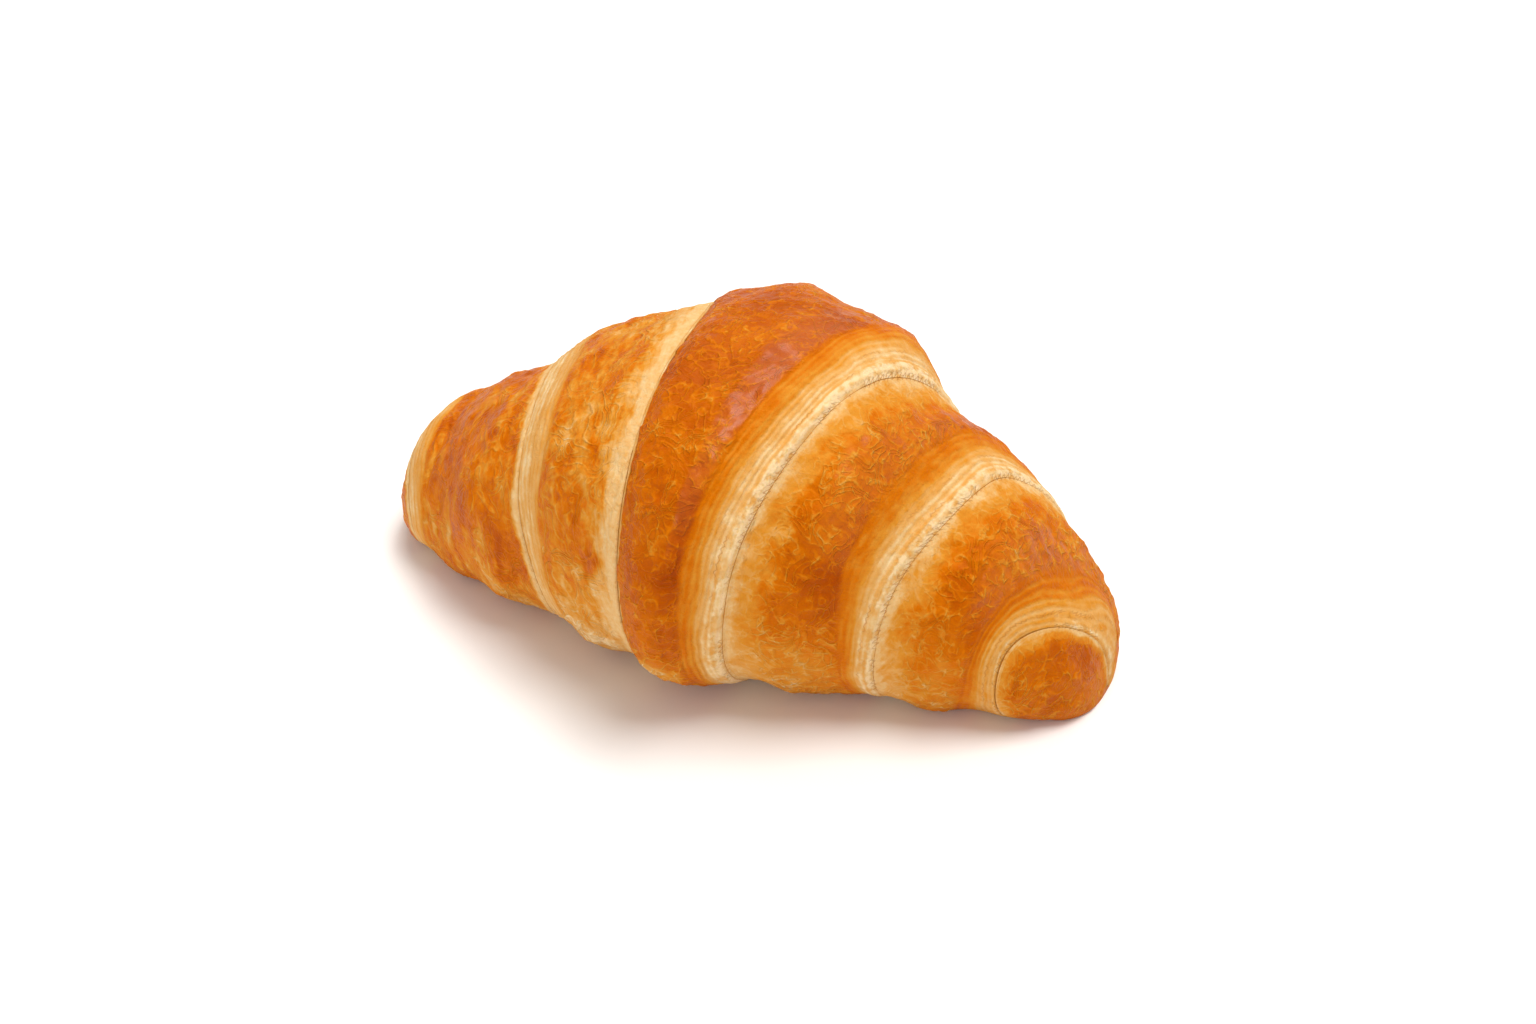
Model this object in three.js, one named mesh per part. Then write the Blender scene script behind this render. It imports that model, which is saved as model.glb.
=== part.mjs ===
// Croissant, baked, lying on its seam.
//
// One piece of rolled dough. A tapering sheet is wound up from its wide end, so each wrap
// leaves a stepped edge that climbs round the body towards the middle, and the tip of the
// sheet ends tucked under the belly. Millimetres, +Z up, length along X. The origin is on
// the table, under the middle of the piece.

import * as THREE from 'three';

// The smooth body under the wraps: distance from the middle of the belly, half width and
// half height. Its two ends are rounded off beyond the outer stations.
const stations = [
  { along: -60, halfWidth: 17.0, halfHeight: 15.5 },
  { along: -42, halfWidth: 26.0, halfHeight: 23.0 },
  { along: -24, halfWidth: 32.0, halfHeight: 29.0 },
  { along: -12, halfWidth: 38.5, halfHeight: 31.5 },
  { along: 0, halfWidth: 42.0, halfHeight: 33.0 },
  { along: 10, halfWidth: 38.5, halfHeight: 33.0 },
  { along: 20, halfWidth: 33.0, halfHeight: 32.5 },
  { along: 37, halfWidth: 26.5, halfHeight: 25.0 },
  { along: 50, halfWidth: 21.5, halfHeight: 20.5 },
  { along: 59, halfWidth: 17.5, halfHeight: 13.0 },
];
const leftEnd = -72.5;
const rightEnd = 67.5;
const endBluntness = 2.2; // 2 rounds an end off like a ball, more is blunter
const squareness = 2.15; // 2 is an ellipse, more is boxier
const settle = 3.0; // how far the soft dough sank onto the tray
const endSettle = 0.28; // the same at the thin ends, as a share of the half height
const sweep = 6.3; // how far both ends bend back
const sweepReach = 70;

// The stepped edges of the sheet. Each one starts under the belly, and is the same curve
// wound on and on: start + pitch * turns + widening * turns^2, leaning over once a turn.
// At its dips the dough was pulled aside: after how many turns, over how many, how far.
const edges = [
  {
    side: -1, start: 4.6, pitch: 21.7, widening: 2.7, lean: 3.2, leanTurn: -2.18, last: 68.5,
    depth: 4.2, shoulder: 10.0, bulge: 2.8, rise: 16.0, dips: [{ turns: 1.17, over: 0.09, by: -4.5 }],
  },
  {
    side: 1, start: 10.3, pitch: 26.45, widening: -1.7, lean: 5.9, leanTurn: 3.1, last: 66.0,
    depth: 4.8, shoulder: 9.0, bulge: 2.0, rise: 12.0, dips: [],
  },
];
const wrapsPerSide = 3;
const lastSoftness = 1.5; // how gently an edge stops short of the end of the body
const fadeIn = { turns: -0.15, over: 0.12 }; // where the sheet's tip flattens out
const fadeOut = { turns: 3.0, over: 0.15 }; // where the innermost turn ends
const thinEndDepth = 0.35; // share of the step's depth left at the thinnest place
const seamDepth = 0.35; // and under the body
const fullSize = 33; // half height at which a step has its full depth

// The leaves of dough that show on each stepped edge, as ridges along it.
const leaves = { first: 1.3, spacing: 1.9, count: 3, height: 0.7 };

// Slow unevenness of the crust: height, waves per millimetre, waves round the body, start.
const swells = [
  { height: 0.30, perLength: 0.33, round: 2, start: 0 },
  { height: 0.22, perLength: 0.52, round: -3, start: 1 },
  { height: 0.18, perLength: 0.21, round: 5, start: 2 },
];

// Where the surface is sampled. Rows follow the edges, so the steps stay crisp.
const columns = 48;
const shoulderRows = [0.4, 1.3, 2.25, 3.2, 4.15, 5.1, 6.1, 8.4];
const riseRows = [1.0, 2.6, 5.2, 9.0];
const fullSpan = 17.5; // rows crowd together where two edges are nearer than this
const bellyRows = 3;
const capRows = 6;
const seamAngle = Math.PI * 24 / 180; // rows leave the edges this near the bottom

const turn = 2 * Math.PI;

function clamp01(value) {
  return THREE.MathUtils.clamp(value, 0, 1);
}

// Slopes of a smooth curve through the stations that never overshoots them.
function slopesOf(key) {
  const steps = stations.slice(1).map((next, i) => next.along - stations[i].along);
  const rates = steps.map((step, i) => (stations[i + 1][key] - stations[i][key]) / step);
  return stations.map((station, i) => {
    if (i === 0) return rates[0];
    if (i === rates.length) return rates[i - 1];
    if (rates[i - 1] * rates[i] <= 0) return 0;
    const before = 2 * steps[i] + steps[i - 1];
    const after = steps[i] + 2 * steps[i - 1];
    return (before + after) / (before / rates[i - 1] + after / rates[i]);
  });
}

const slopes = { halfWidth: slopesOf('halfWidth'), halfHeight: slopesOf('halfHeight') };

function profileAt(key, along) {
  let i = stations.length - 2;
  while (i > 0 && along < stations[i].along) i -= 1;
  const low = stations[i];
  const high = stations[i + 1];
  const span = high.along - low.along;
  const t = clamp01((along - low.along) / span);
  const ease = t * t * (3 - 2 * t);
  const lift = t * (1 - t) * (1 - t) * slopes[key][i] - t * t * (1 - t) * slopes[key][i + 1];
  return low[key] + (high[key] - low[key]) * ease + lift * span;
}

// Rounds the two ends off to a point.
function endRounding(along) {
  const first = stations[0].along;
  const last = stations[stations.length - 1].along;
  const beyondLeft = clamp01((first - along) / (first - leftEnd));
  const beyondRight = clamp01((along - last) / (rightEnd - last));
  const beyond = Math.max(beyondLeft, beyondRight);
  return Math.max(1 - beyond ** endBluntness, 0) ** (1 / endBluntness);
}

// Distance of a stepped edge from the middle of the belly, after so many turns.
function edgeAt(edge, turns) {
  const lean = edge.lean * Math.sin(turn * turns - edge.leanTurn);
  const pulled = edge.dips.reduce((sum, dip) => (
    sum + dip.by * Math.exp(-(((turns - dip.turns) / dip.over) ** 2))
  ), 0);
  const free = edge.start + edge.pitch * turns + edge.widening * turns * turns + lean + pulled;
  return free - lastSoftness * Math.log1p(Math.exp((free - edge.last) / lastSoftness));
}

function leafRidge(distance) {
  const from = distance - leaves.first;
  const nearest = THREE.MathUtils.clamp(Math.round(from / leaves.spacing), 0, leaves.count - 1);
  const off = Math.abs(from - nearest * leaves.spacing);
  return leaves.height * clamp01(1 - 2 * off / leaves.spacing);
}

// How far the surface lies inside the smooth body, beside the nearest stepped edge.
function foldDepth(along, around, halfHeight) {
  const size = THREE.MathUtils.lerp(thinEndDepth, 1, clamp01(halfHeight / fullSize));
  const place = THREE.MathUtils.lerp(seamDepth, 1, clamp01((1 - Math.cos(around)) / 0.9));
  let deepest = 0;
  for (const edge of edges) {
    for (let wrap = -1; wrap < wrapsPerSide; wrap += 1) {
      const turns = wrap + around / turn;
      const beyond = edge.side * along - edgeAt(edge, turns);
      const onRise = beyond > 0;
      const reach = clamp01(Math.abs(beyond) / (onRise ? edge.rise : edge.shoulder));
      const fall = (1 - reach) ** (onRise ? 2 : edge.bulge);
      const ridge = onRise ? 0 : leafRidge(-beyond);
      const begun = clamp01((turns - fadeIn.turns) / fadeIn.over);
      const ended = clamp01((fadeOut.turns - turns) / fadeOut.over);
      deepest = Math.max(deepest, (edge.depth * fall - ridge) * size * place * begun * ended);
    }
  }
  return deepest;
}

function swell(along, around) {
  return swells.reduce((sum, wave) => (
    sum + wave.height * Math.sin(wave.perLength * along + wave.round * around + wave.start)
  ), 0);
}

// A point of the crust. around is 0 at the bottom, a quarter turn at the front (-Y).
function crustPoint(along, around) {
  const rounding = endRounding(along);
  const halfWidth = profileAt('halfWidth', along) * rounding;
  const halfHeight = profileAt('halfHeight', along) * rounding;
  const power = 2 / squareness;
  const sine = Math.sin(around);
  const cosine = Math.cos(around);
  const y = -halfWidth * Math.sign(sine) * Math.abs(sine) ** power;
  const z = -halfHeight * Math.sign(cosine) * Math.abs(cosine) ** power;
  const radius = Math.max(Math.hypot(y, z), 0.001);
  const inward = foldDepth(along, around, halfHeight) - swell(along, around) * rounding;
  const keep = THREE.MathUtils.clamp(1 - inward / radius, 0.3, 1.05);
  const sunk = Math.min(settle, endSettle * halfHeight);
  const back = sweep * (along / sweepReach) ** 2;
  return new THREE.Vector3(along, y * keep + back, Math.max(z * keep + halfHeight - sunk, 0));
}

// Places of the edges along one line of the body, from the left end to the right end.
function edgeMarks(around) {
  const [left, right] = edges;
  const marks = [];
  for (let wrap = wrapsPerSide - 1; wrap >= 0; wrap -= 1) {
    marks.push(-edgeAt(left, wrap + around / turn));
  }
  for (let wrap = 0; wrap < wrapsPerSide; wrap += 1) {
    marks.push(edgeAt(right, wrap + around / turn));
  }
  return marks;
}

// Near the bottom the rows slide to places halfway between this wrap and the next one,
// so the first column meets the last.
function settledMarks(around) {
  const fromSeam = Math.min(around, turn - around);
  const follow = THREE.MathUtils.smoothstep(fromSeam, 0, seamAngle);
  const start = edgeMarks(0);
  const finish = edgeMarks(turn);
  return edgeMarks(around).map((mark, i) => (
    THREE.MathUtils.lerp((start[i] + finish[i]) / 2, mark, follow)
  ));
}

// Rows from one mark to the next: those that climb from the lower wrap, then the shoulder.
function spanRows(low, high, lowRows, fill, highRows) {
  const span = high - low;
  const scale = Math.min(1, span / fullSpan);
  const rows = [low, ...lowRows.map((row) => low + row * scale)];
  const from = rows[rows.length - 1];
  const to = high - (highRows.length ? highRows[highRows.length - 1] * scale : 0);
  for (let i = 1; i <= fill; i += 1) rows.push(THREE.MathUtils.lerp(from, to, i / (fill + 1)));
  return rows.concat(highRows.map((row) => high - row * scale).reverse());
}

function rowsAt(around) {
  const marks = settledMarks(around);
  const rows = [];
  for (let i = 1; i <= capRows; i += 1) {
    const t = i / (capRows + 1);
    rows.push(THREE.MathUtils.lerp(leftEnd, marks[0], t * t));
  }
  marks.slice(1).forEach((high, i) => {
    const leftSide = i < wrapsPerSide - 1;
    const belly = i === wrapsPerSide - 1;
    const lowRows = leftSide || belly ? shoulderRows : riseRows;
    const highRows = leftSide ? riseRows : shoulderRows;
    rows.push(...spanRows(marks[i], high, lowRows, belly ? bellyRows : 1, highRows));
  });
  const last = marks[marks.length - 1];
  for (let i = 0; i <= capRows; i += 1) {
    const t = 1 - i / (capRows + 1);
    rows.push(THREE.MathUtils.lerp(rightEnd, last, t * t));
  }
  return rows;
}

// The whole crust: columns round the body, rows along it, and one point at each end.
function crustGeometry() {
  const points = [];
  const triangles = [];
  for (let column = 0; column < columns; column += 1) {
    const around = turn * column / columns;
    rowsAt(around).forEach((along) => points.push(crustPoint(along, around)));
  }
  const rows = points.length / columns;
  const leftTip = points.push(crustPoint(leftEnd, 0)) - 1;
  const rightTip = points.push(crustPoint(rightEnd, 0)) - 1;
  for (let column = 0; column < columns; column += 1) {
    const here = column * rows;
    const next = ((column + 1) % columns) * rows;
    triangles.push(leftTip, here, next);
    for (let row = 0; row < rows - 1; row += 1) {
      triangles.push(here + row, here + row + 1, next + row + 1);
      triangles.push(here + row, next + row + 1, next + row);
    }
    triangles.push(here + rows - 1, rightTip, next + rows - 1);
  }
  const geometry = new THREE.BufferGeometry().setFromPoints(points);
  geometry.setIndex(triangles);
  geometry.computeBoundingBox();
  const middle = geometry.boundingBox.getCenter(new THREE.Vector3());
  geometry.translate(-middle.x, -middle.y, 0);
  geometry.computeVertexNormals();
  return geometry;
}

const bakedCrust = new THREE.MeshStandardMaterial({
  name: 'baked crust', color: 0xc8742a, roughness: 0.45, metalness: 0,
});

const croissant = new THREE.Mesh(crustGeometry(), bakedCrust);
croissant.name = 'croissant';

const part = new THREE.Group();
part.add(croissant);

export default part;
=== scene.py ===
import math

import bpy
import numpy as np
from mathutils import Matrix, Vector


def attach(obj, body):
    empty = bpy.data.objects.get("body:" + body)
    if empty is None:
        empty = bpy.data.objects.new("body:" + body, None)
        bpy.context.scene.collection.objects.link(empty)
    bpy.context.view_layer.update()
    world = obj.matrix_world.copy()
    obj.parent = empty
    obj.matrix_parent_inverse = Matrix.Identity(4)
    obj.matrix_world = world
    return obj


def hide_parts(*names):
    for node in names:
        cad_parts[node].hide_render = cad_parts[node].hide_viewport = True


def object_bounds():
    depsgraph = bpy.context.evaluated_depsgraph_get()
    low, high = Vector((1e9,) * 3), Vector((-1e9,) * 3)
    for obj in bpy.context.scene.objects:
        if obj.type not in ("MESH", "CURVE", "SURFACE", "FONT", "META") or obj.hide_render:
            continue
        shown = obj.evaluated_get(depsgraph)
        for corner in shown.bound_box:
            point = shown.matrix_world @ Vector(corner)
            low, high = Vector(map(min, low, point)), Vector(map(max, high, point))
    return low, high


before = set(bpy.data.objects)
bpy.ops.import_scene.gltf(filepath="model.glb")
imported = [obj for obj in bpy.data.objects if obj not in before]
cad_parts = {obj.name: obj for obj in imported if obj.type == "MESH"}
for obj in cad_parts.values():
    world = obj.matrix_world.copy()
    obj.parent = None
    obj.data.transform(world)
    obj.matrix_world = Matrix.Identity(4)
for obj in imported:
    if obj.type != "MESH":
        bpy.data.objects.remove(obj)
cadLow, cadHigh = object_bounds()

print("frame loaded")

mm = 0.001
fullTurn = 2 * math.pi
boxShare = 0.9999  # of the solid's box that the crust may fill


# Nodes

# One output of a node. Arithmetic on it adds Math nodes to its tree.
class Wire:
    def __init__(self, graph, socket):
        self.graph = graph
        self.socket = socket

    def math(self, operation, *others, clamp=False):
        values = dict(enumerate((self, *others)))
        return self.graph.add("ShaderNodeMath", {"operation": operation, "use_clamp": clamp}, values)

    def __add__(self, other):
        return self.math("ADD", other)

    __radd__ = __add__

    def __sub__(self, other):
        return self.math("SUBTRACT", other)

    def __rsub__(self, other):
        return self.graph.add("ShaderNodeMath", {"operation": "SUBTRACT"}, {0: other, 1: self})

    def __mul__(self, other):
        return self.math("MULTIPLY", other)

    __rmul__ = __mul__

    def __truediv__(self, other):
        return self.math("DIVIDE", other)

    def __rtruediv__(self, other):
        return self.graph.add("ShaderNodeMath", {"operation": "DIVIDE"}, {0: other, 1: self})

    def __abs__(self):
        return self.math("ABSOLUTE")

    def clamp(self):
        return self.math("ADD", 0.0, clamp=True)

    # 0 below low, 1 above high, smooth between
    def fade(self, low, high):
        return self.graph.add("ShaderNodeMapRange", {"interpolation_type": "SMOOTHSTEP"},
                              {"Value": self, "From Min": low, "From Max": high,
                               "To Min": 0.0, "To Max": 1.0})


# A node tree, shader or geometry, with one method that adds any node.
class Graph:
    def __init__(self, tree):
        self.tree = tree

    def add(self, kind, settings=None, inputs=None, output=0):
        node = self.tree.nodes.new(kind)
        for name, value in (settings or {}).items():
            if name == "stops":
                self.setStops(node.color_ramp, value)
            else:
                setattr(node, name, value)
        for name, value in (inputs or {}).items():
            if isinstance(value, Wire):
                self.tree.links.new(value.socket, node.inputs[name])
            else:
                node.inputs[name].default_value = value
        return Wire(self, node.outputs[output]) if len(node.outputs) else node

    def setStops(self, ramp, stops):
        while len(ramp.elements) < len(stops):
            ramp.elements.new(0.5)
        for element, (place, colour) in zip(ramp.elements, stops):
            grey = (colour, colour, colour, 1)
            element.position = place
            element.color = linearColour(colour) if isinstance(colour, tuple) else grey

    def scaled(self, place, share):
        return self.add("ShaderNodeVectorMath", {"operation": "SCALE"}, {0: place, "Scale": share})

    def noise(self, place, size, detail=2.0, roughness=0.5, distortion=0.0, output=0):
        return self.add("ShaderNodeTexNoise", {"noise_dimensions": "3D"},
                        {"Vector": place, "Scale": 1 / size, "Detail": detail,
                         "Roughness": roughness, "Distortion": distortion}, output)


# A screen colour, 0 to 255, as the linear one that shaders take.
def linearColour(colour):
    def linear(value):
        share = value / 255
        return share / 12.92 if share <= 0.04045 else ((share + 0.055) / 1.055) ** 2.4
    return (*[linear(value) for value in colour], 1.0)


# The rolled body

# The croissant lies along x and is rolled about it. Angles run round it from the bottom,
# over the front, and turns count on from wrap to wrap. Lengths are in millimetres.
roll = {
    # from the middle of the belly: place along, half width, half height
    "stations": [(-60, 17.0, 15.5), (-42, 26.0, 23.0), (-24, 32.0, 29.0), (-12, 38.5, 32.2),
                 (0, 42.0, 33.0), (10, 38.5, 33.0), (20, 33.0, 32.5), (37, 26.5, 25.0),
                 (50, 21.5, 20.5), (59, 18.2, 14.4), (67.5, 16.5, 11.0)],
    "leftEnd": -72.5,
    "rightEnd": 67.5,
    "roundedFrom": (-60.0, 50.0),
    "roundness": (2.2, 3.2),
    "squareness": 2.15,
    "settle": 3.0,
    "endSettle": 0.28,  # share of the half height, where that is less
    "sweep": 6.3,  # how far the ends bend back, at sweepReach from the middle
    "sweepReach": 70.0,
    "thinEndDepth": 0.35,  # share of a fold's depth at the thin ends and along the seam
    "seamDepth": 0.35,
    "fullSize": 33.0,  # half height at which folds are full depth
    "fullDepthFrom": 0.9,  # how high up they are full depth, where the top is 2
    "fadeIn": (-0.15, 0.12),  # turns: start of the edge before the seam, and over how much
    "fadeOut": 0.15,
    "lastSoftness": 1.5,  # how softly an edge stops at its last place
    "spiralSoftness": 0.03,  # turns over which a spiral sets in
    "tipMargin": 0.5,  # kept between the last edge and the right end
    "riseFall": 2.0,  # power of a fold's fall on the lower wrap
    "leastRadius": 0.001,
    "keepWithin": (0.3, 1.05),  # share of the radius that folds and swells may leave
    # height, phase for each millimetre along and each radian round, start
    "swells": [(0.30, 0.33, 2, 0), (0.22, 0.52, -3, 1), (0.18, 0.21, 5, 2)],
    "lipFill": (0.6, 1.4, 1.2),  # height, place inward of the lip, width
    "troughFill": (1.5, 3.4, 0.3),  # height, width, share taken off on the left
    "layerSpread": (0.85, 0.35, -0.3),  # the cut layers are wider near the top
    "tipLayers": 7.0,  # width that the tip's layers count as, whatever their own
    "tipArcs": (1.0, 14.0),  # least and greatest width of their own
    # place and pitch at a turn, then a spiral, its turn and its softness
    "tipCrest": (48.3, 31.0, 2.211, 24.0, 2.45, 0.04),
    "bellyBrowning": 0.64,
    "glossAngles": (104, 128, 185, 215),  # degrees: fading in, then out
    "glossBand": (0.95, 1.1, 1.45, 1.95),  # the same, in layers from the lip
}

# The two stepped edges of the sheet of dough, left and right of the belly. A dip is a turn,
# how far round it reaches and how much it moves the edge. A spiral tightens the edge from
# its turn on. Values in threes are for each wrap, from the belly out.
wraps = 3
edges = [
    {"side": -1, "start": 4.6, "pitch": 21.7, "widening": 2.7, "lean": 3.2, "leanTurn": -2.18,
     "last": 68.5, "dips": [(0.56, 0.10, -2.2), (1.17, 0.09, -4.5)], "spirals": [],
     "depth": 4.2, "share": (0.9, 0.75, 0.8), "round": (1.2, 1.8, 1.8), "bulge": 2.8,
     "shoulder": (6.5, 9.0, 9.0), "rise": (16.0, 16.0, 16.0), "layers": (0.8, 6.4, 5.0),
     "covered": (5.6, 1.8, 1.6), "browning": (0.48, 0.58, 0.68), "baked": (0.0, 0.0, 0.04)},
    {"side": 1, "start": 10.3, "pitch": 26.45, "widening": -1.7, "lean": 5.9, "leanTurn": 3.1,
     "last": 68.0, "dips": [(1.56, 0.10, -3.0), (2.30, 0.13, -1.5)], "spirals": [(40.0, 2.40)],
     "depth": 4.8, "share": (0.95, 0.85, 0.22), "round": (2.6, 2.4, 1.8), "bulge": 2.0,
     "shoulder": (9.0, 9.0, 8.0), "rise": (12.0, 9.0, 8.0), "layers": (8.4, 7.6, 6.8),
     "covered": (8.0, 7.5, 3.4), "browning": (0.58, 0.59, 0.78), "baked": (0.0, 0.02, 0.18)},
]

# Places darker or lighter than the rest: x, y, z, radius and change. The one low on the tip, at z 7,
# darkens its underside as painted shade.
toneAndShadePatches = [
    (8.6, -38, 37, 6.0, 0.36), (7, -35, 48, 5.0, 0.20), (29.6, -27.4, 35.5, 5.5, 0.30),
    (49, -16, 31, 4.5, 0.22), (43, -12, 37, 5.0, 0.10), (-3.5, -12, 61, 8.0, 0.14),
    (2, 13, 62, 7.0, 0.14), (16, 13, 61, 6.0, 0.16), (0, -37, 13, 5.0, -0.24),
    (23, -30, 18, 9.0, -0.13), (-10, -35, 24, 6.0, -0.22), (-13, -30, 11, 8.0, -0.25),
    (48, -18, 14, 6.0, -0.10), (3, -25, 57, 5.0, 0.10), (64.5, -10, 7, 3.5, 0.12),
]

# How fine the crust mesh is, and where its rows leave the edges to close the seam.
sampling = {
    "columns": 280,
    "underColumns": 10,
    "underAngle": 24.0,
    "spanRows": 56,
    "bellyRows": 78,
    "leftEndRows": 22,
    "rightEndRows": 26,
    "probes": 160,
    "leafStep": 0.30,
    "plainStep": 0.66,
    "stepBlend": 2.5,
    "leftLeaves": 6.4,  # reach of the close rows from an edge, on its leafy side
    "rightLeaves": 10.8,
    "plainSide": 1.6,
    "farAway": 30.0,
    "touching": 1e-6,
}


def smoothstep(value, low, high):
    t = np.clip((value - low) / (high - low), 0, 1)
    return t * t * (3 - 2 * t)


# 1 between the inner two places, 0 outside the outer two.
def between(value, outLow, inLow, inHigh, outHigh):
    return smoothstep(value, outLow, inLow) * (1 - smoothstep(value, inHigh, outHigh))


# A smooth curve through the stations that never overshoots them.
def profile(column, along):
    x = np.array([station[0] for station in roll["stations"]], float)
    y = np.array([station[column] for station in roll["stations"]], float)
    step = np.diff(x)
    rate = np.diff(y) / step
    slope = np.concatenate([rate[:1], np.zeros(len(x) - 2), rate[-1:]])
    for i in range(1, len(x) - 1):
        if rate[i - 1] * rate[i] > 0:
            before = 2 * step[i] + step[i - 1]
            after = step[i] + 2 * step[i - 1]
            slope[i] = (before + after) / (before / rate[i - 1] + after / rate[i])
    i = np.clip(np.searchsorted(x, along) - 1, 0, len(x) - 2)
    t = np.clip((along - x[i]) / step[i], 0, 1)
    lift = t * (1 - t) ** 2 * slope[i] - t ** 2 * (1 - t) * slope[i + 1]
    return y[i] + (y[i + 1] - y[i]) * t * t * (3 - 2 * t) + lift * step[i]


def endRounding(along):
    rounding = 1.0
    ends = roll["leftEnd"], roll["rightEnd"]
    for start, end, power in zip(roll["roundedFrom"], ends, roll["roundness"]):
        beyond = np.clip((along - start) / (end - start), 0, 1)
        rounding = rounding * np.maximum(1 - beyond ** power, 0) ** (1 / power)
    return rounding


# How far from the middle of the belly an edge is, on its own side.
def edgeAt(edge, turns):
    lean = edge["lean"] * np.sin(fullTurn * turns - edge["leanTurn"])
    free = edge["start"] + edge["pitch"] * turns + edge["widening"] * turns ** 2 + lean
    soft = roll["spiralSoftness"]
    for pitch, start in edge["spirals"]:
        free = free + pitch * soft * np.logaddexp(0, (turns - start) / soft)
    for place, over, amount in edge["dips"]:
        free = free + amount * np.exp(-((turns - place) / over) ** 2)
    soft = roll["lastSoftness"]
    return free - soft * np.log1p(np.exp((free - edge["last"]) / soft))


# Where the browned top sheet of the last right wrap ends, at the start of the tip's arcs.
def tipCrestAt(turns):
    place, pitch, start, quick, quickFrom, soft = roll["tipCrest"]
    spiral = quick * soft * np.logaddexp(0, (turns - quickFrom) / soft)
    return place + pitch * (turns - start) + spiral


# Where all edges cross one column of the mesh, from the left end to the right one.
def edgeMarks(around):
    left, right = edges
    marks = [-edgeAt(left, wrap + around / fullTurn) for wrap in reversed(range(wraps))]
    marks += [edgeAt(right, wrap + around / fullTurn) for wrap in range(wraps)]
    return np.minimum(marks, roll["rightEnd"] - roll["tipMargin"])


# Near the bottom the rows slide to places between this wrap and the next, so that the
# first column meets the last.
def settledMarks(around):
    fromSeam = min(around, fullTurn - around)
    follow = smoothstep(fromSeam, 0, math.radians(sampling["underAngle"]))
    meeting = (edgeMarks(0.0) + edgeMarks(fullTurn)) / 2
    return meeting + (edgeMarks(around) - meeting) * follow


# Rows of one span, close together on the leafy ends and wider between.
def spanRows(low, high, rows, reachLow, reachHigh):
    fine, coarse = sampling["leafStep"], sampling["plainStep"]
    places = np.linspace(low, high, sampling["probes"])
    step = np.full(places.shape, coarse)
    for distance, reach in ((places - low, reachLow), (high - places, reachHigh)):
        near = smoothstep(distance, reach, reach + sampling["stepBlend"])
        step = np.minimum(step, fine + (coarse - fine) * near)
    count = np.concatenate([[0], np.cumsum(np.diff(places) * 2 / (step[1:] + step[:-1]))])
    return np.interp(np.linspace(0, count[-1], rows + 1)[:-1], count, places)


def rowsAt(around):
    marks = settledMarks(around)
    left = np.linspace(0, 1, sampling["leftEndRows"] + 1)[1:-1]
    right = np.linspace(1, 0, sampling["rightEndRows"] + 1)[:-1]
    rows = [roll["leftEnd"] + (marks[0] - roll["leftEnd"]) * left ** 2]
    for i in range(len(marks) - 1):
        count = sampling["bellyRows"] if i == wraps - 1 else sampling["spanRows"]
        reach = sampling["plainSide"], sampling["rightLeaves"]
        if i < wraps - 1:
            reach = sampling["leftLeaves"], sampling["plainSide"]
        rows.append(spanRows(marks[i], marks[i + 1], count, *reach))
    rows.append(roll["rightEnd"] + (marks[-1] - roll["rightEnd"]) * right ** 2)
    return np.concatenate(rows)


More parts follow.
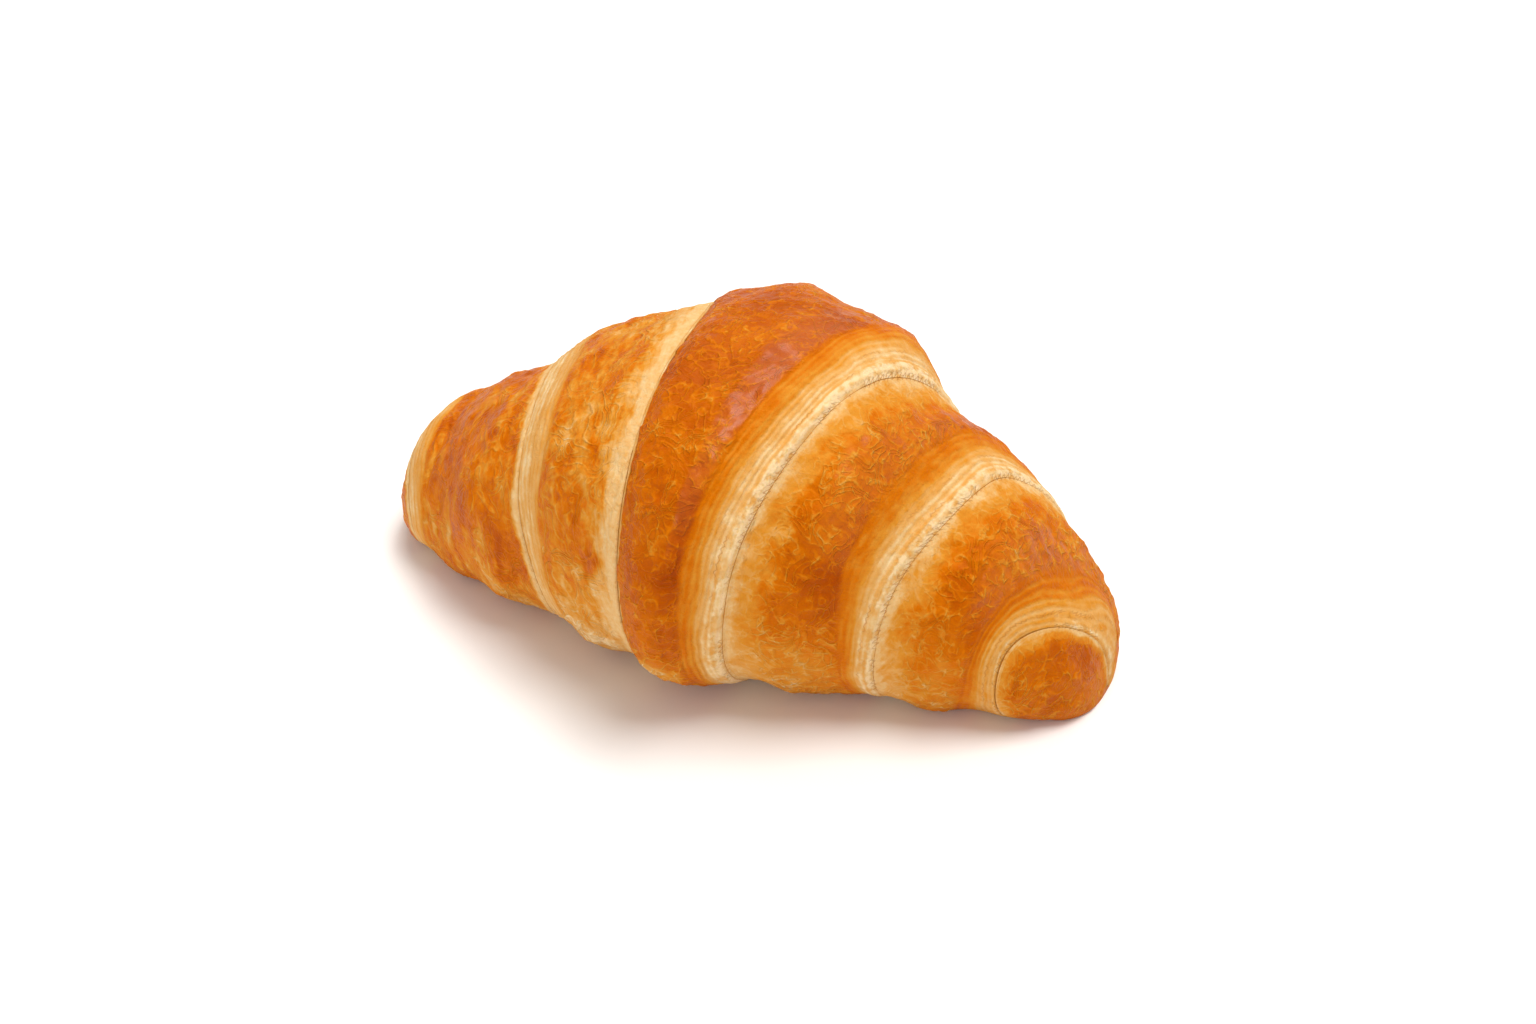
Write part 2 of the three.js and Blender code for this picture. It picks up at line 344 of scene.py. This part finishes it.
# How deep the folds cut, and where a point lies between the step its wrap climbs from
# and the lip its wrap ends in.
def folds(along, around, halfHeight):
    thick = np.clip(halfHeight / roll["fullSize"], 0, 1)
    high = np.clip((1 - np.cos(around)) / roll["fullDepthFrom"], 0, 1)
    size = roll["thinEndDepth"] + (1 - roll["thinEndDepth"]) * thick
    place = roll["seamDepth"] + (1 - roll["seamDepth"]) * high
    far, touching = sampling["farAway"], sampling["touching"]
    depth, leftSide, leftLip, baked = [np.zeros(along.shape) for _ in range(4)]
    rise, shoulder, cover, layer = [np.full(along.shape, far) for _ in range(4)]
    browning = np.full(along.shape, roll["bellyBrowning"])
    least, more, lowest = roll["layerSpread"]
    spread = least + more * np.clip(-np.cos(around), lowest, 1)
    for edge in edges:
        for wrap in range(-1, wraps):
            own = {name: edge[name][max(wrap, 0)] for name in (
                "round", "rise", "shoulder", "share", "browning", "baked", "covered", "layers")}
            turns = wrap + around / fullTurn
            beyond = edge["side"] * along - edgeAt(edge, turns)
            shown = np.clip((turns - roll["fadeIn"][0]) / roll["fadeIn"][1], 0, 1)
            shown = shown * np.clip((wraps - turns) / roll["fadeOut"], 0, 1)
            onRise = beyond > 0
            eased = np.hypot(beyond, own["round"]) - own["round"]
            reach = np.clip(eased / np.where(onRise, own["rise"], own["shoulder"]), 0, 1)
            fall = (1 - reach) ** np.where(onRise, roll["riseFall"], edge["bulge"])
            depth = np.maximum(depth, edge["depth"] * own["share"] * fall * shown)
            behind = np.where(beyond >= -touching, beyond, far) + (1 - shown) * far
            ahead = np.where(beyond <= touching, -beyond, far) + (1 - shown) * far
            browning = np.where(onRise & (shown > 0.5), own["browning"], browning)
            leftSide = np.where(onRise & (edge["side"] < 0) & (shown > 0.5), 1, leftSide)
            leftLip = np.where(ahead < shoulder, float(edge["side"] < 0), leftLip)
            baked = np.where(ahead < shoulder, own["baked"], baked)
            cover = np.minimum(cover, behind / own["covered"])
            layered = own["layers"] * spread
            if edge["side"] > 0 and wrap == wraps - 1:
                # the tip's arcs run evenly between the lip and the crest
                arcs = np.clip(edgeAt(edge, turns) - tipCrestAt(turns), *roll["tipArcs"])
                layered = roll["tipLayers"]
                ahead = np.where(ahead < far, ahead * layered / arcs, ahead)
            layer = np.minimum(layer, ahead / layered)
            rise = np.minimum(rise, behind)
            shoulder = np.minimum(shoulder, ahead)
    rightSide = (1 - leftLip) * (1 - leftSide)
    lip = np.where(shoulder < rise, shoulder, -rise)
    height, inward, width = roll["lipFill"]
    fill = height * np.exp(-((lip - inward) / width) ** 2) * rightSide
    height, width, less = roll["troughFill"]
    fill = fill + height * np.exp(-(lip / width) ** 2) * (1 - less * leftLip)
    gloss = between(around, *np.radians(roll["glossAngles"])) * between(layer, *roll["glossBand"])
    fields = {"gloss": gloss * rightSide, "rise": rise, "shoulder": shoulder, "lip": lip,
              "cover": cover, "layer": layer, "baked": baked, "leftSide": leftSide,
              "leftLip": leftLip, "browning": browning, "stepSize": size * place}
    fields = {name: np.maximum(field, -far) for name, field in fields.items()}
    return np.maximum(depth - fill, 0) * size * place, fields


# Points of the crust in millimetres, and the fields that the relief and the finish read.
def crustSurface(along, around):
    rounding = endRounding(along)
    halfWidth = profile(1, along) * rounding
    halfHeight = profile(2, along) * rounding
    power = 2 / roll["squareness"]
    sine, cosine = np.sin(around), np.cos(around)
    y = -halfWidth * np.sign(sine) * np.abs(sine) ** power
    z = -halfHeight * np.sign(cosine) * np.abs(cosine) ** power
    radius = np.maximum(np.hypot(y, z), roll["leastRadius"])
    depth, fields = folds(along, around, halfHeight)
    swell = sum(height * np.sin(perLength * along + perTurn * around + start)
                for height, perLength, perTurn, start in roll["swells"])
    keep = np.clip(1 - (depth - swell * rounding) / radius, *roll["keepWithin"])
    sunk = np.minimum(roll["settle"], roll["endSettle"] * halfHeight)
    back = roll["sweep"] * (along / roll["sweepReach"]) ** 2
    points = np.stack([along, y * keep + back, np.maximum(z * keep + halfHeight - sunk, 0)], -1)
    return points, fields


# A tube of quads whose rows follow the edges, closed by a fan at each end.
def makeCrustBody():
    under = math.radians(sampling["underAngle"])
    half = sampling["underColumns"] // 2
    angles = np.concatenate([
        np.linspace(0, under, half, endpoint=False),
        np.linspace(under, fullTurn - under, sampling["columns"] - 2 * half, endpoint=False),
        np.linspace(fullTurn - under, fullTurn, half, endpoint=False)])
    along = np.array([rowsAt(angle) for angle in angles])
    around = np.repeat(angles[:, None], along.shape[1], 1)
    tips = np.array([roll["leftEnd"], roll["rightEnd"]])
    along = np.concatenate([along.ravel(), tips])
    points, fields = crustSurface(along, np.concatenate([around.ravel(), np.zeros(2)]))

    columns, rows = around.shape
    here = np.arange(columns)[:, None] * rows + np.arange(rows - 1)[None]
    there = np.roll(np.arange(columns), -1)[:, None] * rows + np.arange(rows - 1)[None]
    quads = np.stack([here, here + 1, there + 1, there], -1).reshape(-1, 4)
    first = np.arange(columns) * rows
    following = np.roll(first, -1)
    leftTip, rightTip = columns * rows, columns * rows + 1
    faces = quads.tolist()
    faces += [(leftTip, a, b) for a, b in zip(first, following)]
    faces += [(a + rows - 1, rightTip, b + rows - 1) for a, b in zip(first, following)]

    middle = (points.min(0) + points.max(0)) / 2
    points -= [middle[0], middle[1], 0]
    # the patches change the browning field, the tip's low one with painted shade
    for *spot, radius, change in toneAndShadePatches:
        away = np.linalg.norm(points - spot, axis=1)
        fields["browning"] = fields["browning"] + change * np.exp(-(away / radius) ** 2)

    # distance along the edge from the seam, the same from both sides
    grid = points[:-2].reshape(columns, rows, 3)
    steps = np.linalg.norm(np.roll(grid, -1, 0) - grid, axis=2)
    walked = np.cumsum(steps, 0) - steps
    arc = np.minimum(walked, steps.sum(0) - walked)
    fields["arc"] = np.concatenate([arc.ravel(), [0, 0]])
    mesh = bpy.data.meshes.new("crust")
    mesh.from_pydata(points * mm, [], faces)
    for name, field in fields.items():
        mesh.attributes.new(name, "FLOAT", "POINT").data.foreach_set("value", field)
    crust = bpy.data.objects.new("crust", mesh)
    bpy.context.scene.collection.objects.link(crust)
    return crust


# The relief of the crust: leaves on the cut edges, crumbs, blisters and dimples

# Inputs of the tree, lengths in millimetres.
relief = {
    "Wander": 1.4,
    "Layer wander": 0.15,
    "Wander size": 10.0,
    "Sheet height": 0.22,
    "Leaf spacing": 3.3,
    "Leaf height": 0.18,
    "Fine leaf spacing": 0.9,
    "Fine leaf height": 0.16,
    "Baked softening": 3.5,
    "Torn size": 7.0,
    "Crumb size": 1.5,
    "Crumb height": 0.8,
    "Blister size": 4.5,
    "Blister height": 0.8,
    "Dimple size": 1.9,
    "Dimple height": 0.30,
}

# Where the relief fades in or out: in layers from the lip for "layer" and "sheet", else in
# millimetres from it or from the step below.
reliefFades = {
    "wander": (0.0, 4.0),
    "layerWander": (0.0, 0.6),
    "layerEnd": (0.93, 1.0),
    "sheetStart": (0.95, 1.0),
    "sheetEnd": (1.0, 1.8),
    "torn": (0.25, 0.6),
    "leafStart": (0.0, 0.9),
    "crumbStart": (0.0, 0.4),
    "crumbEnd": (1.8, 3.2),
    "skinLayer": (0.8, 1.2),
    "skinRise": (0.0, 5.0),
    "floor": (0.0, 2.0),
}


def makeReliefTree():
    tree = bpy.data.node_groups.new("bakedRelief", "GeometryNodeTree")
    tree.interface.new_socket("Geometry", in_out="INPUT", socket_type="NodeSocketGeometry")
    for name in relief:
        tree.interface.new_socket(name, in_out="INPUT", socket_type="NodeSocketFloat")
    tree.interface.new_socket("Material", in_out="INPUT", socket_type="NodeSocketMaterial")
    tree.interface.new_socket("Geometry", in_out="OUTPUT", socket_type="NodeSocketGeometry")
    graph = Graph(tree)
    given = tree.nodes.new("NodeGroupInput")
    size = {socket.name: Wire(graph, socket) for socket in given.outputs if socket.name}

    def attribute(name):
        return graph.add("GeometryNodeInputNamedAttribute", {"data_type": "FLOAT"}, {"Name": name})

    def fade(value, name):
        return value.fade(*reliefFades[name])

    shoulder, rise, layer, baked, stepSize = [
        attribute(name) for name in ("shoulder", "rise", "layer", "baked", "stepSize")]
    place = graph.scaled(graph.add("GeometryNodeInputPosition"), 1 / mm)
    height = graph.add("ShaderNodeSeparateXYZ", None, {0: place}, "Z")

    # the layers wander away from the lip they end in
    wander = graph.noise(place, size["Wander size"], 2.0) - 0.5
    inward = shoulder + wander * size["Wander"] * fade(shoulder, "wander")
    layer = layer + wander * size["Layer wander"] * fade(layer, "layerWander")

    # the browned top sheet ends in a small ledge, with torn leaves between it and the lip
    under = 1 - fade(layer, "layerEnd")
    sheet = fade(layer, "sheetStart") * (1 - fade(layer, "sheetEnd")) * size["Sheet height"]
    leaf = (1 - (inward / size["Leaf spacing"]).math("FRACT")) * size["Leaf height"]
    fine = abs((inward / size["Fine leaf spacing"]).math("FRACT") * 2 - 1) * size["Fine leaf height"]
    torn = fade(graph.noise(place, size["Torn size"], 1.0), "torn") * 0.6 + 0.4
    crumb = (graph.noise(place, size["Crumb size"], 2.0, 0.6) - 0.42) * size["Crumb height"]
    crumbs = crumb * (1 - fade(shoulder, "crumbEnd")) * fade(shoulder, "crumbStart") * torn
    leaves = sheet + under * (leaf * torn + fine) * fade(shoulder, "leafStart") + crumbs
    leaves = leaves * stepSize * (1 - baked * size["Baked softening"])

    # blisters and dimples on the smooth skin
    skin = fade(layer, "skinLayer") * fade(rise, "skinRise")
    blister = graph.noise(place, size["Blister size"], 2.0, 0.5, 0.5) - 0.5
    dimple = graph.noise(place, size["Dimple size"], 1.0, 0.5, 0.4) - 0.5
    bumps = blister * size["Blister height"] * 2 + dimple * size["Dimple height"] * 2
    lift = leaves + (0.2 + 0.8 * skin) * bumps
    offset = graph.scaled(graph.add("GeometryNodeInputNormal"), lift * fade(height, "floor") * mm)
    made = graph.add("GeometryNodeSetPosition", None, {"Geometry": size["Geometry"], "Offset": offset})
    for name, value in (("inward", inward), ("layer", layer)):
        made = graph.add("GeometryNodeStoreNamedAttribute", {"data_type": "FLOAT", "domain": "POINT"},
                         {"Geometry": made, "Name": name, "Value": value})
    made = graph.add("GeometryNodeSetShadeSmooth", None, {"Geometry": made})
    made = graph.add("GeometryNodeRealizeInstances", None, {"Geometry": made})
    made = graph.add("GeometryNodeSetMaterial", None, {"Geometry": made, "Material": size["Material"]})
    graph.add("NodeGroupOutput", None, {"Geometry": made})
    return tree


# Runs a geometry tree on an object once and leaves the plain mesh it makes.
def settleTree(thing, tree, values):
    modifier = thing.modifiers.new("shape", "NODES")
    modifier.node_group = tree
    for item in tree.interface.items_tree:
        if item.in_out == "INPUT" and item.name in values:
            modifier[item.identifier] = values[item.name]
    depsgraph = bpy.context.evaluated_depsgraph_get()
    made = bpy.data.meshes.new_from_object(
        thing.evaluated_get(depsgraph), preserve_all_data_layers=True, depsgraph=depsgraph)
    thing.modifiers.clear()
    thing.data = made


# Centres a piece over the solid's underside and shrinks it until it fits the solid's box.
def fitInside(thing):
    count = len(thing.data.vertices)
    places = np.empty(count * 3)
    thing.data.vertices.foreach_get("co", places)
    places = places.reshape(count, 3)
    low, high = np.array(cadLow), np.array(cadHigh)
    middle = (low + high) / 2
    places[:, :2] -= (places[:, :2].max(0) + places[:, :2].min(0)) / 2
    places[:, 2] -= places[:, 2].min()
    share = np.minimum((high - low) / (places.max(0) - places.min(0)), 1) * boxShare
    places = places * share + [middle[0], middle[1], low[2]]
    thing.data.vertices.foreach_set("co", places.ravel())
    thing.data.update()


# The baked crust's finish

# Colours from unbaked cream to the darkest brown, with the baking that gives each. How far
# the layers are baked between their lip (0) and the browned top sheet (1), and how much of
# the skin's own browning shows beside the step that covered it.
baking = {
    "colours": [(0.00, (230, 198, 150)), (0.06, (220, 182, 126)), (0.14, (214, 160, 90)),
                (0.34, (207, 135, 42)), (0.54, (200, 105, 2)), (0.76, (178, 81, 0)), (1.00, (160, 64, 0))],
    "rightLayers": [(0.00, 0.08), (0.10, 0.05), (0.18, 0.08), (0.23, 0.17), (0.28, 0.11), (0.42, 0.10),
                    (0.50, 0.18), (0.54, 0.26), (0.58, 0.22), (0.64, 0.36), (0.68, 0.44), (0.72, 0.40),
                    (0.78, 0.48), (0.83, 0.54), (0.88, 0.50), (0.97, 0.58)],
    "leftLayers": [(0.00, 0.22), (0.08, 0.10), (0.45, 0.12), (0.50, 0.26), (0.58, 0.16), (0.90, 0.28),
                   (0.97, 0.44)],
    "coverShare": [(0.00, 0.0), (0.12, 0.06), (0.26, 0.42), (0.50, 0.58), (0.80, 0.86), (1.00, 1.0)],
    # painted shade inside the cracks: its colour, and how much of it is mixed in
    "crackShadeColour": (172, 108, 48),
    "crackShadeShare": 0.5,
    "coveredBake": 0.09,
    "footLightening": 0.20,
    "footHeights": (3.0, 24.0),
    "topSheetBrowning": 0.05,
}

# Noises of the finish: size in millimetres, detail, roughness and distortion.
grains = {
    "broad": (11.0, 2.0),
    "blotch": (4.2, 3.0, 0.6),
    "speck": (1.2, 3.0, 0.6),
    "streak": (2.2, 3.0, 0.6),
    "fibre": (0.45, 3.0, 0.65),
    "wrinkle": (6.5, 1.0, 0.5, 0.8),
    "wrinkled": (9.0, 1.0),
    "scaly": (13.0, 1.0),
    "curl": (3.2, 1.0, 0.5, 1.1),
    "curled": (3.1, 1.0),
    "crescent": (2.0, 1.0),
    "bend": (3.0, 1.0),
    "broken": (6.0, 1.0),
    "crumb": (1.6, 2.0, 0.6),
    "fine": (0.6, 3.0, 0.6),
}

# How strongly each mark changes the colour, on the skin and on the cut layers. On the skin, ridge darkens
# the wrinkle valleys and lightens their crests as painted shade and painted highlight, and curl and
# crescent lighten thin lines that are partly paler lifted crust and partly painted highlight.
skinToneAndShading = {
    "broad": 0.45,
    "blotch": 0.27,
    "leftBlotch": 0.36,
    "speck": 0.12,
    "streak": 0.08,
    "leftStreak": 0.75,
    "ridge": 0.15,
    "scale": 0.16,
    "curl": 0.13,
    "crescent": 0.17,
}
layerTones = {
    "fibre": 0.12,
    "line": 0.07,
    "bakedLine": 0.25,
    "blotch": 0.40,
    "speck": 0.10,
    "crumb": 0.5,
}

# Sizes and places of the fine marks, in millimetres, and the wrinkles that a noise holds.
marks = {
    "streakLength": 4.0,
    "fibreLength": 9.0,
    "wrinkleTurns": 9.0,
    "scaleSize": 3.0,
    "crescentSize": 2.9,
    "crescentBend": (3.4, 3.4, 3.4),
    "layerSpacing": 1.1,
    "toothLength": 1.35,
    "secondCrack": 2.3,
    "thirdCrack": 4.2,
}

# Heights of the fine marks in millimetres, all drawn by the bump.
embossing = {
    "ridge": 0.15,
    "scale": 0.6,
    "curl": 0.08,
    "crescent": 0.15,
    "fibre": 0.12,
    "line": 0.04,
    "bakedLine": 0.2,
    "speck": 0.34,
    "fine": 0.05,
    "crumb": 0.7,
    "crack": 0.06,
}

# The surface that light meets.
sheen = {
    "roughness": 0.66,
    "smoother": 0.30,  # less rough where it is browned
    "glazed": (0.36, 0.72),
    "specular": 0.08,
    "tint": (1.0, 0.55, 0.20, 1.0),
    "coat": 0.01,
    "glossyCoat": 0.50,
    "coatRoughness": 0.28,
    "coatIor": 1.40,
    "softness": 0.10,
    "softReach": 1.5 * mm,
    "softColour": (1.0, 0.45, 0.18),
}


def makeCrustMaterial():
    material = bpy.data.materials.new("bakedCrust")
    material.use_nodes = True
    material.node_tree.nodes.clear()
    graph = Graph(material.node_tree)

    def attribute(name):
        return graph.add("ShaderNodeAttribute", {"attribute_name": name}, None, "Fac")

    def ramp(value, stops):
        return graph.add("ShaderNodeValToRGB", {"stops": stops}, {"Fac": value})

    def mixed(share, first, second):
        return first + (second - first) * share

    def saw(value):
        return abs(value.math("FRACT") * 2 - 1)

    lip, inward, arc = [attribute(name) for name in ("lip", "inward", "arc")]
    layer, leftLip, leftSide = [attribute(name) for name in ("layer", "leftLip", "leftSide")]
    cover, browning, baked, gloss = [attribute(name) for name in ("cover", "browning", "baked", "gloss")]
    place = graph.scaled(graph.add("ShaderNodeTexCoord", None, None, "Object"), 1 / mm)
    y, z = [graph.add("ShaderNodeSeparateXYZ", None, {0: place}, axis) for axis in "YZ"]

    def alongEdge(distance, stretch):
        return graph.add("ShaderNodeCombineXYZ", None, {"X": distance, "Y": y / stretch, "Z": z / stretch})

    def grain(name, where=place):
        return graph.noise(where, *grains[name])

    broad, blotch, speck = [grain(name) - 0.5 for name in ("broad", "blotch", "speck")]
    streak = grain("streak", alongEdge(inward, marks["streakLength"])) - 0.5
    fibre = grain("fibre", alongEdge(inward, marks["fibreLength"])) - 0.5

    # wrinkles like fingerprints, scales and light curls on the skin
    wrinkle = saw(grain("wrinkle") * marks["wrinkleTurns"] + speck * 0.25)
    wrinkled = grain("wrinkled").fade(0.38, 0.56) * 0.6 + 0.4
    ridge = (1 - wrinkle.fade(0.0, 0.55)) * wrinkled
    scale = graph.add("ShaderNodeTexVoronoi", {"feature": "SMOOTH_F1"},
                      {"Vector": place, "Scale": 1 / marks["scaleSize"], "Smoothness": 0.3}, "Distance")
    scaly = grain("scaly").fade(0.44, 0.56)
    curl = 1 - abs(grain("curl") - 0.5).fade(0.0, 0.05)
    curl = curl * grain("curled").fade(0.48, 0.58) * (1 - 0.7 * leftSide)
    bend = graph.noise(place, *grains["bend"], output=1)
    bent = graph.add("ShaderNodeVectorMath", {"operation": "MULTIPLY_ADD"},
                     {0: bend, 1: marks["crescentBend"], 2: place})
    border = graph.add("ShaderNodeTexVoronoi", {"feature": "DISTANCE_TO_EDGE"},
                       {"Vector": bent, "Scale": 1 / marks["crescentSize"]}, "Distance")
    crescent = (1 - border.fade(0.0, 0.12)) * grain("crescent").fade(0.44, 0.54)
    crescent = crescent * (1 - 0.6 * leftSide)

    # the skin: brown where it stood out, lighter low down and where the step above covered it
    tone = skinToneAndShading
    skin = browning + broad * tone["broad"] + blotch * (tone["blotch"] + tone["leftBlotch"] * leftSide)
    skin = skin + speck * tone["speck"] + streak * (tone["streak"] + tone["leftStreak"] * leftSide)
    topSheet = layer.fade(0.9, 1.0) * (1 - layer.fade(1.0, 2.2)) * (1 - leftLip)
    skin = skin + baking["topSheetBrowning"] * topSheet
    skin = skin - baking["footLightening"] * (1 - z.fade(*baking["footHeights"]))
    # painted shade in the wrinkle valleys and painted highlight on their ridges; the raised scale borders
    # lighter
    skin = skin + (0.3 - ridge) * tone["ridge"] - (scale - 0.45) * tone["scale"] * scaly
    # thin light curls and crescents: partly paler lifted crust, partly painted highlight on the raised
    # relief
    skin = skin - curl * tone["curl"] - crescent * tone["crescent"]
    covered = cover + blotch * 0.9 + streak * (0.5 + 0.7 * leftSide)
    shown = mixed(leftSide, ramp(covered, baking["coverShare"]), covered.fade(0.4, 1.25))
    skin = mixed(shown, baking["coveredBake"] + speck * 0.2 + fibre * 0.1, skin)

    # the layers between the lip and the top sheet
    line = saw(inward / marks["layerSpacing"] + broad * 2).fade(0.0, 1.0)
    cut = 1 - layer.fade(0.93, 1.07)
    wavy = layer + streak * 0.12 + blotch * 0.05
    layers = mixed(leftLip, ramp(wavy, baking["rightLayers"]), ramp(wavy, baking["leftLayers"]))
    broken = grain("broken")
    crumbly = cut * (1 - inward.fade(1.4, 2.8)) * (1 - leftLip) * (0.3 + 0.7 * broken.fade(0.42, 0.56))
    crumb = grain("crumb") - 0.5
    tone = layerTones
    layers = layers + baked * (1 - layer * 0.9) + fibre * tone["fibre"]
    layers = layers + (line - 0.5) * (tone["line"] + tone["bakedLine"] * baked)
    layers = layers + blotch * tone["blotch"] + speck * tone["speck"]
    # crumbly lip paler, most where the crumbs stand up: pale torn dough and partly painted highlight on the
    # raised crumbs
    layers = layers - (0.05 + crumb * tone["crumb"]) * crumbly
    # baking of skin and layers, with the painted shade and highlight of their marks added in
    bakeAndShading = mixed(cut, skin, layers)
    colour = ramp(bakeAndShading, baking["colours"])

    # toothed cracks: one at the lip, finer ones in the layers, drawn in the bump and darkened in the colour
    # as painted shade inside them
    tooth = (saw(arc / marks["toothLength"] + blotch * 1.2) - 0.5) * 0.6 + speck * 0.8
    main = 1 - abs(lip + tooth * 1.3 - 0.1).fade(0.05, 0.22)
    main = main * (1 - leftLip * 0.8) * (1 - 0.5 * leftSide) * broken.fade(0.40, 0.52)
    second = 1 - abs(inward - marks["secondCrack"] + tooth * 0.7).fade(0.04, 0.17)
    second = second * broken.fade(0.50, 0.42)
    third = 1 - abs(inward - marks["thirdCrack"] + tooth * 0.5).fade(0.04, 0.17)
    third = third * broken.fade(0.53, 0.60)
    cracks = (main + (second + third * 0.6) * (1 - leftLip) * 0.8).clamp()
    # the cracks darkened with painted shade
    crackShadeColour = linearColour(baking["crackShadeColour"])
    colour = graph.add("ShaderNodeMix", {"data_type": "RGBA"},
                       {"Factor": cracks * baking["crackShadeShare"], 6: colour, 7: crackShadeColour}, 2)

    # fine marks, drawn on the skin that stood out and on the cut layers
    bare = layer.fade(0.85, 1.15) * (0.25 + 0.75 * cover.fade(0.2, 1.0))
    embossed = ridge * embossing["ridge"] + scale * embossing["scale"] * scaly
    embossed = embossed + curl * embossing["curl"] + crescent * embossing["crescent"]
    lined = fibre * embossing["fibre"] + line * (embossing["line"] + embossing["bakedLine"] * baked)
    surface = embossed * bare + lined * cut * inward.fade(0.0, 0.8)
    surface = surface + speck * embossing["speck"] + grain("fine") * embossing["fine"]
    surface = surface + crumb * embossing["crumb"] * crumbly * inward.fade(0.0, 0.5)
    surface = surface - cracks * embossing["crack"]
    bump = graph.add("ShaderNodeBump", None, {"Strength": 1.0, "Distance": mm, "Height": surface}, "Normal")

    # brushed skin shines where it browned, cut dough doesn't
    glaze = bakeAndShading.fade(*sheen["glazed"])
    shader = graph.add("ShaderNodeBsdfPrincipled", None, {
        "Base Color": colour,
        "Roughness": sheen["roughness"] - sheen["smoother"] * glaze,
        "Specular IOR Level": sheen["specular"],
        "Specular Tint": sheen["tint"],
        "Coat Weight": glaze * (sheen["coat"] + sheen["glossyCoat"] * gloss),
        "Coat Roughness": sheen["coatRoughness"],
        "Coat IOR": sheen["coatIor"],
        "Subsurface Weight": sheen["softness"],
        "Subsurface Radius": sheen["softColour"],
        "Subsurface Scale": sheen["softReach"],
        "Normal": bump,
    })
    graph.add("ShaderNodeOutputMaterial", None, {"Surface": shader})
    return material


# Floor, light and camera, in metres

studio = {
    "floorReach": 3.0,
    "floorColour": (0.90, 0.884, 0.858, 1),
    "floorRoughness": 0.9,
    "floorSpecular": 0.1,
    "worldColour": (1, 0.99, 0.98, 1),
    "worldStrength": 0.54,
    "lampTarget": (0, 0, 0.03),
    # name, place, size and watts
    "lamps": [("key", (0.42, 0.08, 1.70), (1.1, 0.7), 24.5),
              ("back", (-0.30, 0.75, 1.35), (0.8, 0.4), 6.5),
              ("fill", (-0.55, -1.25, 0.32), (0.9, 0.4), 4.5)],
    "viewAngles": (23.7, 35.2),  # degrees round from the front, and up
    "viewTarget": (0.0063, -0.0002, 0.0251),
    "viewDistance": 0.65,
    "lens": 85,
    "sensor": 36,
}


def makeFloor():
    mesh = bpy.data.meshes.new("floor")
    reach = studio["floorReach"]
    mesh.from_pydata([(-reach, -reach, 0), (reach, -reach, 0), (reach, reach, 0), (-reach, reach, 0)],
                     [], [(0, 1, 2, 3)])
    floor = bpy.data.objects.new("floor", mesh)
    bpy.context.scene.collection.objects.link(floor)
    material = bpy.data.materials.new("whitePaper")
    material.use_nodes = True
    shader = material.node_tree.nodes["Principled BSDF"]
    shader.inputs["Base Color"].default_value = studio["floorColour"]
    shader.inputs["Roughness"].default_value = studio["floorRoughness"]
    shader.inputs["Specular IOR Level"].default_value = studio["floorSpecular"]
    mesh.materials.append(material)


def makeLamp(name, place, size, watts):
    light = bpy.data.lights.new(name, "AREA")
    light.shape = "RECTANGLE"
    light.size, light.size_y = size
    light.energy = watts
    lamp = bpy.data.objects.new(name, light)
    lamp.location = place
    aim = Vector(studio["lampTarget"]) - Vector(place)
    lamp.rotation_euler = aim.to_track_quat("-Z", "Y").to_euler()
    bpy.context.scene.collection.objects.link(lamp)


def makeCamera():
    azimuth, elevation = [math.radians(angle) for angle in studio["viewAngles"]]
    back = Vector((math.sin(azimuth) * math.cos(elevation), -math.cos(azimuth) * math.cos(elevation),
                   math.sin(elevation)))
    camera = bpy.data.cameras.new("camera")
    camera.lens, camera.sensor_width = studio["lens"], studio["sensor"]
    view = bpy.data.objects.new("camera", camera)
    view.location = Vector(studio["viewTarget"]) + back * studio["viewDistance"]
    view.rotation_euler = (-back).to_track_quat("-Z", "Y").to_euler()
    bpy.context.scene.collection.objects.link(view)
    bpy.context.scene.camera = view


def makeWorld():
    world = bpy.data.worlds.new("studio")
    world.use_nodes = True
    background = world.node_tree.nodes["Background"]
    background.inputs["Color"].default_value = studio["worldColour"]
    background.inputs["Strength"].default_value = studio["worldStrength"]
    bpy.context.scene.world = world
    bpy.context.scene.view_settings.view_transform = "Standard"


makeCamera()
makeFloor()
for lamp in studio["lamps"]:
    makeLamp(*lamp)
makeWorld()
print("studio made")

crust = makeCrustBody()
print("crust body made")
settleTree(crust, makeReliefTree(), {**relief, "Material": makeCrustMaterial()})
fitInside(crust)
print("crust relief made,", sum(len(face.vertices) - 2 for face in crust.data.polygons), "triangles")
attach(crust, "root")
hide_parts("croissant")
